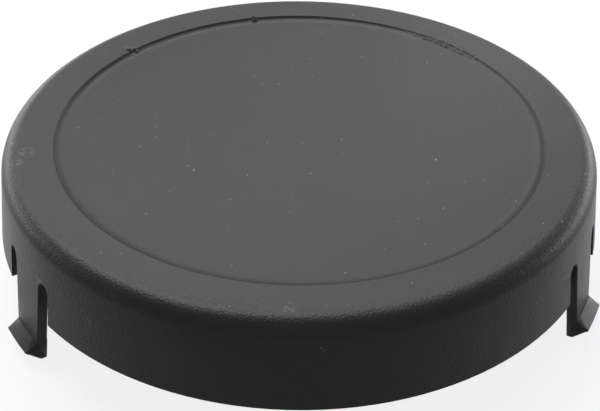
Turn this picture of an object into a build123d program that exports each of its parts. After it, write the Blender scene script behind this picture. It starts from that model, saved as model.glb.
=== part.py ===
"""Snap-in hole plug: one moulded cap, open underneath, held in its panel by three barbed tongues."""

import os
from math import cos, radians, tan

from build123d import *

# Lengths are in millimetres and angles in degrees.
# Z runs up the axis of the cap. Z = 0 is the open edge of the skirt, which sits on the panel.

# The cap
rim_radius = 30.9  # outside of the skirt at its open edge
skirt_height = 8.7  # open edge up to the flat border
skirt_draft = 7.4  # lean of the skirt towards the axis as it rises
wall = 1.0  # one thickness all through, so that the part cools evenly in its mould
shoulder_radius = 1.8  # round between the skirt and the border
border_width = 5.0  # flat border, counted inwards from the corner under the shoulder's round
recess_depth = 0.55  # how far the centre is sunk below the border

# The tongues, and the slots that set them free of the skirt
tongue_count = 3
tongue_start = 90.0  # direction of the first tongue, seen from above
tongue_root_width = 5.2  # beside the tops of the slots
tongue_end_width = 4.4  # at the tip
slot_width = 1.6
slot_height = 4.1  # open edge up to the top of each slot

# The barb that ends each tongue
shelf_drop = 3.45  # open edge down to where the shelf leaves the tongue
barb_reach = 1.25  # how far the shelf stands out from the tongue
shelf_slope = 31.0  # fall of the shelf as it runs outwards
lead_in_height = 1.45  # outer edge of the shelf down to the tip
tip_thickness = 0.6  # left at the tip by the lead-in face
lead_in_side_radius = 0.3  # round along each side of the lead-in face
tip_radius = 0.2  # rounds of the tip, outside and inside

past = 1.0  # how far a cutting shape runs past what it cuts


def skirt_radius(height):
    """Outside radius, at a height, of the leaning face that the skirt and the tongues share."""
    return rim_radius - height * tan(radians(skirt_draft))


# Measured level, the leaning wall is a little thicker than straight through it.
level_wall = wall / cos(radians(skirt_draft))

recess_radius = skirt_radius(skirt_height) - border_width
recess_floor = skirt_height - recess_depth

nose_radius = skirt_radius(-shelf_drop) + barb_reach
nose_drop = shelf_drop + barb_reach * tan(radians(shelf_slope))
tip_drop = nose_drop + lead_in_height
tip_inner_radius = skirt_radius(-tip_drop) - level_wall


def tongue_half_width(height):
    """Half the width of a tongue at a height: its sides close in evenly from root to tip."""
    taper = (tongue_root_width - tongue_end_width) / 2 / (slot_height + tip_drop)
    return tongue_root_width / 2 - taper * (slot_height - height)


slot_centre_height = slot_height - slot_width / 2
slot_centre_offset = tongue_half_width(slot_centre_height) + slot_width / 2

# Half of the section: each corner with the radius of its round, from the middle of the top
# outwards, down the outside and back up the inside. Below the open edge the wall goes on as
# a barbed ring, out of which the tongues are left standing.
section_corners = [
    ((0, recess_floor), 0),
    ((recess_radius, recess_floor), 0),
    ((recess_radius, skirt_height), 0),
    ((skirt_radius(skirt_height), skirt_height), shoulder_radius),
    ((skirt_radius(-shelf_drop), -shelf_drop), 0),
    ((nose_radius, -nose_drop), 0),
    ((tip_inner_radius + tip_thickness, -tip_drop), 0),
    ((tip_inner_radius, -tip_drop), 0),
    ((skirt_radius(skirt_height - wall) - level_wall, skirt_height - wall), max(shoulder_radius - wall, 0)),
    ((recess_radius + wall, skirt_height - wall), 0),
    ((recess_radius + wall, recess_floor - wall), 0),
    ((0, recess_floor - wall), 0),
]

# The tongue that lies across the X axis, drawn as it is seen from outside.
with BuildPart() as tongue_blank:
    with BuildSketch(Plane.YZ) as tongue_outline:
        with BuildLine():
            Polyline(
                (-tongue_half_width(slot_height), slot_height),
                (tongue_half_width(slot_height), slot_height),
                (tongue_half_width(-tip_drop - past), -tip_drop - past),
                (-tongue_half_width(-tip_drop - past), -tip_drop - past),
                close=True,
            )
        make_face()
    extrude(amount=nose_radius + past)

# The window that the tongue stands in, whose two upper ends are the round tops of the slots.
with BuildPart() as window:
    with BuildSketch(Plane.YZ) as window_outline:
        with Locations((0, slot_centre_height)):
            Rectangle(
                2 * (slot_centre_offset + slot_width / 2),
                slot_centre_height + past,
                align=(Align.CENTER, Align.MAX),
            )
        with Locations((-slot_centre_offset, slot_centre_height), (slot_centre_offset, slot_centre_height)):
            Circle(slot_width / 2)
    extrude(amount=nose_radius + past)

# What is open round the tongues: the whole ring below the open edge, and the slots above it.
with BuildPart() as clearance:
    with BuildSketch(Plane.XY.offset(-tip_drop - past)):
        Circle(nose_radius + past)
    extrude(amount=tip_drop + past)
    with PolarLocations(0, tongue_count, start_angle=tongue_start):
        add(window.part)
    with PolarLocations(0, tongue_count, start_angle=tongue_start):
        add(tongue_blank.part, mode=Mode.SUBTRACT)

with BuildPart() as hole_plug:
    with BuildSketch(Plane.XZ) as section:
        with BuildLine():
            FilletPolyline(
                [corner for corner, radius in section_corners],
                radius=[radius for corner, radius in section_corners],
                close=True,
            )
        make_face()
    revolve(axis=Axis.Z)
    add(clearance.part, mode=Mode.SUBTRACT)

    # Each side of a lead-in face is the only kind of edge between the shelf's outer edge and the tip.
    lead_in_sides = (
        hole_plug.edges()
        .filter_by(GeomType.HYPERBOLA)
        .filter_by_position(Axis.Z, -tip_drop, -nose_drop)
    )
    fillet(lead_in_sides, radius=lead_in_side_radius)
    tip_edges = hole_plug.edges().filter_by(GeomType.CIRCLE).group_by(Axis.Z)[0]
    fillet(tip_edges, radius=tip_radius)

print("volume", round(hole_plug.part.volume, 1), "mm3 in", len(hole_plug.part.solids()), "solid")
print("tongue tips reach", round(tip_drop, 2), "mm below the open edge, out to", round(nose_radius, 2), "mm")

hole_plug.part.label = "hole_plug"
os.makedirs("parts", exist_ok=True)
export_step(hole_plug.part, "parts/hole_plug.step")
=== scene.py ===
# %% [markdown]
# # A snap-in hole plug in black plastic
#
# The plug is one moulding: a shallow cap with a sunk centre, and three barbed tongues that
# snap behind the edge of a hole in a panel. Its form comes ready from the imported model. What
# Blender adds is what use and moulding leave on it: the grain of a spark-eroded mould, edges
# that are a little round, a torn stretch along the step round the centre, dust and scuffs.

from math import cos, pi, radians, sin

import bmesh
import bpy
import numpy as np
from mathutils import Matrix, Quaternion, Vector


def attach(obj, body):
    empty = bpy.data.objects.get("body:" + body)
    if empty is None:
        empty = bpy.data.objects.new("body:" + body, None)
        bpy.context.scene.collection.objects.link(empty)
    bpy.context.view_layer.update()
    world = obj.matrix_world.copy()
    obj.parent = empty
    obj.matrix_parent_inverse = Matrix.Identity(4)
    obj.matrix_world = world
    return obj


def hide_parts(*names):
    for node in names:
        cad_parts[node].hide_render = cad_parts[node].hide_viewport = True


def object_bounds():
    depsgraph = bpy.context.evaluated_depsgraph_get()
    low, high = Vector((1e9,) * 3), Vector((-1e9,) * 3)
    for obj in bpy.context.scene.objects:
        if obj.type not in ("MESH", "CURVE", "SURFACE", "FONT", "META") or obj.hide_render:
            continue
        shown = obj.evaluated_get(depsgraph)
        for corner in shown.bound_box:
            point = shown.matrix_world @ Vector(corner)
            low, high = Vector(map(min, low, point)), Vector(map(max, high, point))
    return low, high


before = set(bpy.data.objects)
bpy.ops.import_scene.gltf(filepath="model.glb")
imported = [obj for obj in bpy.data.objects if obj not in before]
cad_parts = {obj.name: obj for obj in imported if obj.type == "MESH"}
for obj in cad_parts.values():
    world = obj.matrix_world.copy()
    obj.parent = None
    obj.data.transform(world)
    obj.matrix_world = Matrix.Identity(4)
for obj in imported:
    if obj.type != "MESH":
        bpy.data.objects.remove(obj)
cad_low, cad_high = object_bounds()
mm = 0.001
print("packed model, mm:", [round(side / mm, 2) for side in cad_high - cad_low])

# %% [markdown]
# ## The moulding's skin
#
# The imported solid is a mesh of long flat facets, which is enough for its skirt and tongues.
# The top needs more: the step round the sunk centre is worn and torn, and a tear needs points
# to move. The top could be subdivided with everything else, but that spends points where
# nothing happens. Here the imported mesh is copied, its flat top is taken off, and a new top of
# fine rings is fitted to the same edge, close together only at the step.

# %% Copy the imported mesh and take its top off
top_zone = 0.9 * mm  # how far below the border the sunk centre can lie


def radius_of(point):
    return Vector((point.x, point.y)).length


def take_top_off(skin):
    """Deletes the border, the step and the sunk centre, and returns the step's radius."""
    top_faces = []
    floor_radii = []
    for face in skin.faces:
        middle = face.calc_center_median()
        if middle.z < cad_high.z - top_zone:
            continue
        if face.normal.z > 0.9999:
            top_faces.append(face)
            if middle.z < cad_high.z - 0.1 * mm:
                floor_radii += [radius_of(corner.co) for corner in face.verts]
        elif abs(face.normal.z) < 0.01:
            top_faces.append(face)
    bmesh.ops.delete(skin, geom=top_faces, context="FACES")
    return max(floor_radii)


skin = bmesh.new()
skin.from_mesh(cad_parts["hole_plug"].data)
bmesh.ops.remove_doubles(skin, verts=skin.verts, dist=0.001 * mm)
step_radius = take_top_off(skin)
rim = sorted(
    {corner for edge in skin.edges if edge.is_boundary for corner in edge.verts},
    key=lambda corner: np.arctan2(corner.co.y, corner.co.x),
)
rim_radius = radius_of(rim[0].co)
print("step radius, mm:", round(step_radius / mm, 2), "with", len(rim), "corners round the new top")

# %% [markdown]
# ## The step and its tear
#
# The step is sharp at its upper edge and runs out softly at its foot, as polished steel in a
# mould leaves it. Its height above the centre is therefore a power of the distance from the
# foot. On one side the edge is torn and stands up in a ragged fringe. There is also one short
# cut across the edge, with a lip beside it, and one raised tick. Each of them is a bump of the
# angle times a bump of the distance from the edge, so that it has no border of its own.

# %% The height of the top at any place
step_depth = 0.38 * mm
step_width = 1.3 * mm
step_power = 3.6
torn_angle, torn_half_width = 43, 17  # degrees round the axis, as the next three are
cut_angle = 136.4
lip_angle = 135.3
tick_angle = 99.1


def bump_round(angles, middle, half_width):
    """1 at an angle round the axis, falling smoothly to 0 at half_width to each side."""
    away = np.abs((angles - middle + 180) % 360 - 180) / half_width
    return np.clip(1 - away * away, 0, 1) ** 2


def roughly(angles, seed, waves):
    """A ragged wave round the axis, about -1 to 1, from sines with seeded phases."""
    random = np.random.default_rng(seed)
    total = np.zeros_like(angles)
    for wave in waves:
        total += np.sin(np.radians(angles) * wave + random.uniform(0, 2 * pi))
    return total / len(waves)


def bump_across(outwards, middle, half_width, power=2):
    """1 at a distance outwards from the step's edge, falling off to each side. All in mm."""
    return np.exp(-((outwards / mm - middle) / half_width) ** power)


def top_height(radii, angles):
    """Height of the top above the open edge, with the step, the tear, the cut and the tick."""
    torn = bump_round(angles, torn_angle, torn_half_width)
    edge = step_radius + 0.12 * mm * torn * roughly(angles, 3, (61, 97, 143, 211))
    inwards = (edge - radii) / step_width
    fall = np.where(inwards > 0, 1 - np.clip(1 - inwards, 0, 1) ** step_power, 0)
    height = cad_high.z - step_depth * fall

    outwards = radii - edge
    fringe = 0.5 + 0.5 * roughly(angles, 5, (83, 131, 197, 283))
    height += 0.17 * mm * torn * bump_across(outwards, 0.22, 0.26) * fringe ** 2
    crumbs = 0.5 + 0.5 * roughly(angles, 7, (71, 119, 167, 251))
    height += 0.16 * mm * torn * bump_across(outwards, -0.35, 0.2) * crumbs

    cut = bump_round(angles, cut_angle, 0.75) * bump_across(outwards, 0.25, 0.42, 4)
    lip = bump_round(angles, lip_angle, 0.8) * bump_across(outwards, -0.15, 0.4, 4)
    tick = bump_round(angles, tick_angle, 1.0) * bump_across(outwards, -0.25, 0.4, 4)
    return height - 0.42 * mm * cut + 0.16 * mm * lip + 0.25 * mm * tick


# %% Rings of points, close together at the step
points_per_side = 8  # of the rim's straight sides
ring_places = (  # mm outwards from the step
    1.6, 1.0, 0.75, 0.55, 0.4, 0.28, 0.18, 0.1, 0.04, 0.0, -0.05, -0.1, -0.16, -0.22,
    -0.29, -0.37, -0.46, -0.56, -0.68, -0.85, -1.2, -2.5, -6.0, -12.0, -18.0,
)


def outer_ring():
    """The rim's corners, with new points spaced along its straight sides."""
    ring = []
    for here, there in zip(rim, rim[1:] + rim[:1]):
        ring.append(here)
        for step in range(1, points_per_side):
            ring.append(skin.verts.new(here.co.lerp(there.co, step / points_per_side)))
    return ring


def inner_ring(radius, angles):
    heights = top_height(np.full_like(angles, radius), np.degrees(angles))
    return [
        skin.verts.new((radius * cos(angle), radius * sin(angle), height))
        for angle, height in zip(angles, heights)
    ]


rings = [outer_ring()]
turn = np.array([np.arctan2(point.co.y, point.co.x) for point in rings[0]])
for place in ring_places:
    rings.append(inner_ring(step_radius + place * mm, turn))
for outer, inner in zip(rings, rings[1:]):
    for here in range(len(turn)):
        there = (here + 1) % len(turn)
        skin.faces.new((outer[here], outer[there], inner[there], inner[here]))
middle = skin.verts.new((0, 0, cad_high.z - step_depth))
for here in range(len(turn)):
    skin.faces.new((rings[-1][here], rings[-1][(here + 1) % len(turn)], middle))
print("new top:", len(rings), "rings of", len(turn), "points")

# %% [markdown]
# ## Edges that catch the light
#
# No moulded edge is sharp: each has a round of about a tenth of a millimetre, and that round is
# what draws a thin light line along the slots and barbs. A Bevel modifier that works by weight
# puts it on the sharp edges of the skirt and tongues alone. The new top stays as it is, and so
# do the tips of the barbs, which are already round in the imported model.

# %% Weigh the sharp edges and make the piece
sharp_angle = radians(38)  # edges sharper than this are rounded
shading_angle = radians(32)  # and the faces beside sharper ones than this are shaded apart
below_shoulder = cad_high.z - 3.0 * mm
above_tips = cad_low.z + 0.8 * mm
weight = skin.edges.layers.float.new("bevel_weight_edge")
weighed = 0
for edge in skin.edges:
    heights = [corner.co.z for corner in edge.verts]
    on_side = max(heights) < below_shoulder and min(heights) > above_tips
    if on_side and len(edge.link_faces) == 2 and edge.calc_face_angle() > sharp_angle:
        edge[weight] = 1.0
        weighed += 1
bmesh.ops.recalc_face_normals(skin, faces=skin.faces)

mesh = bpy.data.meshes.new("plug_moulding")
skin.to_mesh(mesh)
skin.free()
mesh.polygons.foreach_set("use_smooth", [True] * len(mesh.polygons))
mesh.set_sharp_from_angle(angle=shading_angle)
moulding = bpy.data.objects.new("plug_moulding", mesh)
bpy.context.scene.collection.objects.link(moulding)

rounding = moulding.modifiers.new("edge_rounds", "BEVEL")
rounding.limit_method = "WEIGHT"
rounding.width = 0.09 * mm
rounding.segments = 2
rounding.use_clamp_overlap = False
rounding.harden_normals = False
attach(moulding, "root")
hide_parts("hole_plug")
print("rounded edges:", weighed, "of", len(mesh.edges))

# %% [markdown]
# ## Shader maths as Python
#
# A material is a graph of nodes. Wiring each Math node by hand hides the formula in a list of
# links, so a small class stands for a socket and adds the node when two of them are added or
# multiplied. Every other node comes from one method.

# %% Sockets that can be added and multiplied
class Value:
    """One output socket. Arithmetic on it adds Math nodes to its material."""

    def __init__(self, shader, socket):
        self.shader = shader
        self.socket = socket

    def math(self, operation, first, second):
        return self.shader.node("ShaderNodeMath", {"operation": operation}, {0: first, 1: second})

    def __add__(self, other):
        return self.math("ADD", self, other)

    def __sub__(self, other):
        return self.math("SUBTRACT", self, other)

    def __rsub__(self, other):
        return self.math("SUBTRACT", other, self)

    def __mul__(self, other):
        return self.math("MULTIPLY", self, other)

    __radd__ = __add__
    __rmul__ = __mul__


class Shader:
    """A node tree under construction."""

    def __init__(self, tree):
        self.tree = tree
        tree.nodes.clear()

    def node(self, kind, settings=None, inputs=None, output=0):
        """Adds a node: its settings first, then the values or links of its sockets."""
        node = self.tree.nodes.new(kind)
        for name, setting in (settings or {}).items():
            setattr(node, name, setting)
        for name, value in (inputs or {}).items():
            if isinstance(value, Value):
                self.tree.links.new(value.socket, node.inputs[name])
            else:
                node.inputs[name].default_value = value
        return Value(self, node.outputs[output]) if len(node.outputs) else node

    def ramp(self, value, start, end):
        """0 up to start, 1 from end on, and smooth between them. End may be below start."""
        settings = {"interpolation_type": "SMOOTHSTEP"}
        return self.node("ShaderNodeMapRange", settings,
                         {"Value": value, "From Min": start, "From Max": end})

    def blend(self, mask, below, above):
        """One colour where mask is 0 and another where it is 1."""
        return self.node("ShaderNodeMix", {"data_type": "RGBA"},
                         {"Factor": mask, 6: below, 7: above}, output=2)

    def noise(self, place, size, detail=2.0):
        """Cloudy noise whose blotches are about size across."""
        return self.node("ShaderNodeTexNoise", None,
                         {"Vector": place, "Scale": 1 / size, "Detail": detail})


def new_material(name):
    material = bpy.data.materials.new(name)
    material.use_nodes = True
    return material, Shader(material.node_tree)


# %% [markdown]
# ## Black plastic
#
# The plastic is black all through, so its colour hardly varies: what the eye sees is how the
# surface scatters light. The mould was spark-eroded, finely on the top and more coarsely on
# the shoulder and skirt, and plain on the barbs. Two noises of those sizes go into one Bump
# node. Their height could displace the mesh, but grains of a fifth of a millimetre would take
# millions of points. A little gloss over a very dark colour gives the soft sheen.

# %% Where on the plug a point lies
def places(shader):
    place = shader.node("ShaderNodeTexCoord", output="Object")
    height = shader.node("ShaderNodeSeparateXYZ", None, {0: place}, output="Z")
    flat = shader.node("ShaderNodeVectorMath", {"operation": "MULTIPLY"}, {0: place, 1: (1, 1, 0)})
    radius = shader.node("ShaderNodeVectorMath", {"operation": "LENGTH"}, {0: flat}, output="Value")
    return place, height, radius


def near(shader, place, spot, size):
    """1 at a spot on the plug, 0 from size away on. Spot and size are in millimetres."""
    away = shader.node("ShaderNodeVectorMath", {"operation": "DISTANCE"},
                       {0: place, 1: Vector(spot) * mm}, output="Value")
    return shader.ramp(away, size * mm, 0.3 * size * mm)


def round_the_axis(angle, radius, height):
    return cos(radians(angle)) * radius, sin(radians(angle)) * radius, height


scuffs = (
    (round_the_axis(103.1, 27.9, 8.6), 0.7),  # rear border
    (round_the_axis(102.0, 26.7, 8.7), 0.6),
    (round_the_axis(190.0, 28.3, 8.5), 1.1),  # left border
    (round_the_axis(186.5, 27.4, 8.7), 1.3),
    (round_the_axis(264.5, 27.6, 8.6), 0.9),  # front shoulder
    (round_the_axis(228.6, 30.4, 4.0), 0.6),  # skirt
    (round_the_axis(270.2, 30.1, 6.4), 0.5),
    (round_the_axis(356.0, 29.2, 8.0), 1.2),  # right shoulder
)


# %% Dust that has settled on the plug
pale_dust = (0.24, 0.23, 0.21, 1)
red_dust = (0.20, 0.08, 0.06, 1)


def dust(shader, place, cell, share, size):
    """Specks in a share of the cells, each with a size of its own, in mm. Gives mask and colour."""
    cells = {"Vector": place, "Scale": 1 / (cell * mm)}
    settings = {"voronoi_dimensions": "2D"}
    away = shader.node("ShaderNodeTexVoronoi", settings, cells, output="Distance")
    tint = shader.node("ShaderNodeTexVoronoi", settings, cells, output="Color")
    chance = shader.node("ShaderNodeSeparateColor", None, {0: tint}, output=0)
    spread = shader.node("ShaderNodeSeparateColor", None, {0: tint}, output=1)
    redness = shader.node("ShaderNodeSeparateColor", None, {0: tint}, output=2)
    reach = spread * spread * (size / cell) + 0.3 * size / cell
    inside = away.math("LESS_THAN", away, reach)
    chosen = chance.math("LESS_THAN", chance, share)
    pale_or_red = shader.blend(shader.ramp(redness, 0.86, 0.9), pale_dust, red_dust)
    return inside * chosen, pale_or_red


# %% The plastic itself
darkest = (0.0065, 0.0065, 0.0062, 1)
palest = (0.0115, 0.0114, 0.0108, 1)
rubbed = (0.16, 0.16, 0.155, 1)
grain_depth = 0.05 * mm


def black_plastic():
    material, shader = new_material("black_plastic")
    place, height, radius = places(shader)
    outer = shader.ramp(radius, 26.2 * mm, 28.6 * mm)
    plain = shader.ramp(height, -2.6 * mm, -3.6 * mm)

    fine = shader.noise(place, 0.15 * mm, 1.0)
    coarse = shader.noise(place, 0.21 * mm, 2.0)
    from_step = radius.math("ABSOLUTE", radius - (step_radius + 0.1 * mm), 0.0)
    torn_stretch = near(shader, place, round_the_axis(torn_angle, 25.0, 8.6), 7.5)
    torn = torn_stretch * shader.ramp(from_step, 0.9 * mm, 0.3 * mm)
    relief = (fine * 0.35 * (1 - outer) + coarse * outer) * (1 - 0.8 * plain) + torn * coarse * 1.5
    normal = shader.node("ShaderNodeBump", None,
                         {"Height": relief, "Strength": 1.0, "Distance": grain_depth})

    cloud = shader.noise(place, 9 * mm, 3.0)
    upward = shader.ramp(height, 7.6 * mm, 8.0 * mm)
    scratched = shader.noise(place, 0.22 * mm, 3.0)
    worn = torn * 0.5
    for spot, size in scuffs:
        worn = worn + near(shader, place, spot, size)
    worn = worn * shader.ramp(scratched, 0.52, 0.62)

    specks, speck_colour = dust(shader, place, 1.9, 0.30, 0.06)
    crumbs, crumb_colour = dust(shader, place, 6.0, 0.4, 0.09)
    plastic = shader.blend(cloud, darkest, palest)
    scuffed = shader.blend(worn * 0.55, plastic, rubbed)
    dusty = shader.blend(specks * upward * 0.75, scuffed, speck_colour)
    dusty = shader.blend(crumbs * upward * 0.9, dusty, crumb_colour)

    surface = shader.node("ShaderNodeBsdfPrincipled", None, {
        "Base Color": dusty,
        "Roughness": 0.31 + cloud * 0.08 + worn * 0.15,
        "Specular IOR Level": 0.15,
        "Normal": normal,
    })
    shader.node("ShaderNodeOutputMaterial", None, {"Surface": surface})
    return material


mesh.materials.clear()
mesh.materials.append(black_plastic())
print("black plastic:", len(mesh.materials[0].node_tree.nodes), "nodes")

# %% [markdown]
# ## Floor, light and camera
#
# A black part is lit by what it reflects, so each lamp is there for one reflection. Two soft
# boxes high behind the plug and one to the right draw the sheen on the top and let the shoulder
# fall off into the dark. A card to each side fills the sides of the top, and two low strips
# edge the skirt. The floor is pale paper, which looks white to the camera and in reflections,
# and keeps a faint shadow.

# %% Pale floor and plain world
def seen_directly(shader):
    """1 for rays from the camera, from gloss and through glass, and 0 for the rest."""
    kinds = ("Is Camera Ray", "Is Glossy Ray", "Is Transmission Ray")
    camera, glossy, glass = [shader.node("ShaderNodeLightPath", output=kind) for kind in kinds]
    return camera.math("MAXIMUM", camera, glossy.math("MAXIMUM", glossy, glass))


floor_size = 3.0
floor_shadow = 0.15  # how much of the floor's own shading shows under the white


def make_floor():
    bpy.ops.mesh.primitive_plane_add(size=floor_size, location=(0, 0, cad_low.z))
    floor = bpy.context.object
    floor.name = "floor"
    material, shader = new_material("pale_floor")
    paper = shader.node("ShaderNodeBsdfDiffuse", None, {"Color": (0.8, 0.8, 0.8, 1)})
    white = shader.node("ShaderNodeEmission", None, {"Color": (1, 1, 1, 1), "Strength": 1.0})
    above = shader.node("ShaderNodeMixShader", None,
                        {0: seen_directly(shader) * (1 - floor_shadow), 1: paper, 2: white})
    clear = shader.node("ShaderNodeBsdfTransparent")
    from_below = shader.node("ShaderNodeNewGeometry", output="Backfacing")
    sheet = shader.node("ShaderNodeMixShader", None, {0: from_below, 1: above, 2: clear})
    shader.node("ShaderNodeOutputMaterial", None, {"Surface": sheet})
    floor.data.materials.append(material)


def make_world(strength):
    world = bpy.data.worlds.new("studio")
    bpy.context.scene.world = world
    world.use_nodes = True
    shader = Shader(world.node_tree)
    sky = shader.node("ShaderNodeBackground", None, {"Color": (1, 1, 1, 1), "Strength": strength})
    white = shader.node("ShaderNodeBackground", None, {"Color": (1, 1, 1, 1), "Strength": 1.0})
    mixed = shader.node("ShaderNodeMixShader", None, {0: seen_directly(shader), 1: sky, 2: white})
    shader.node("ShaderNodeOutputWorld", None, {"Surface": mixed})


make_floor()
make_world(0.1)

# %% Soft lamps
lamp_distance = 0.6  # metres, as the lamps' widths and heights are


def toward(azimuth, elevation):
    """The direction at an angle from +X towards +Y, and an angle above the horizon."""
    level = cos(radians(elevation))
    return Vector((cos(radians(azimuth)) * level, sin(radians(azimuth)) * level, sin(radians(elevation))))


def add_softbox(name, azimuth, elevation, width, height, radiance):
    """A rectangular lamp that faces the plug, and gives off the same light all over."""
    data = bpy.data.lights.new(name, "AREA")
    data.shape = "RECTANGLE"
    data.size = width
    data.size_y = height
    data.energy = radiance * width * height * pi
    lamp = bpy.data.objects.new(name, data)
    bpy.context.scene.collection.objects.link(lamp)
    lamp.location = toward(azimuth, elevation) * lamp_distance
    lamp.rotation_mode = "QUATERNION"
    lamp.rotation_quaternion = (-lamp.location).to_track_quat("-Z", "Y")


add_softbox("top_softbox", 120, 65, 0.34, 0.24, 8.7)
add_softbox("back_softbox", 104, 45, 0.60, 0.22, 5.2)
add_softbox("right_softbox", 60, 65, 0.32, 0.22, 3.4)
add_softbox("right_card", 60, 25, 0.32, 0.22, 1.6)
add_softbox("left_card", 150, 25, 0.32, 0.22, 1.4)
add_softbox("left_strip", 135, 6, 0.62, 0.22, 4.2)
add_softbox("right_strip", 28, 6, 0.50, 0.22, 6.0)

# %% Camera
camera_azimuth = 265.96
camera_elevation = 36.0
camera_distance = 121.1 * mm
camera_roll = 0.54  # degrees
aim = Vector((0, -1.65, 0)) * mm
lens = 68.2
nearest_seen = 10 * mm


def make_camera():
    data = bpy.data.cameras.new("camera")
    data.lens = lens
    data.clip_start = nearest_seen
    camera = bpy.data.objects.new("camera", data)
    bpy.context.scene.collection.objects.link(camera)
    camera.location = toward(camera_azimuth, camera_elevation) * camera_distance
    level = (aim - camera.location).to_track_quat("-Z", "Y")
    camera.rotation_mode = "QUATERNION"
    camera.rotation_quaternion = level @ Quaternion((0, 0, 1), radians(camera_roll))
    bpy.context.scene.camera = camera


make_camera()
bpy.context.scene.view_settings.view_transform = "Standard"
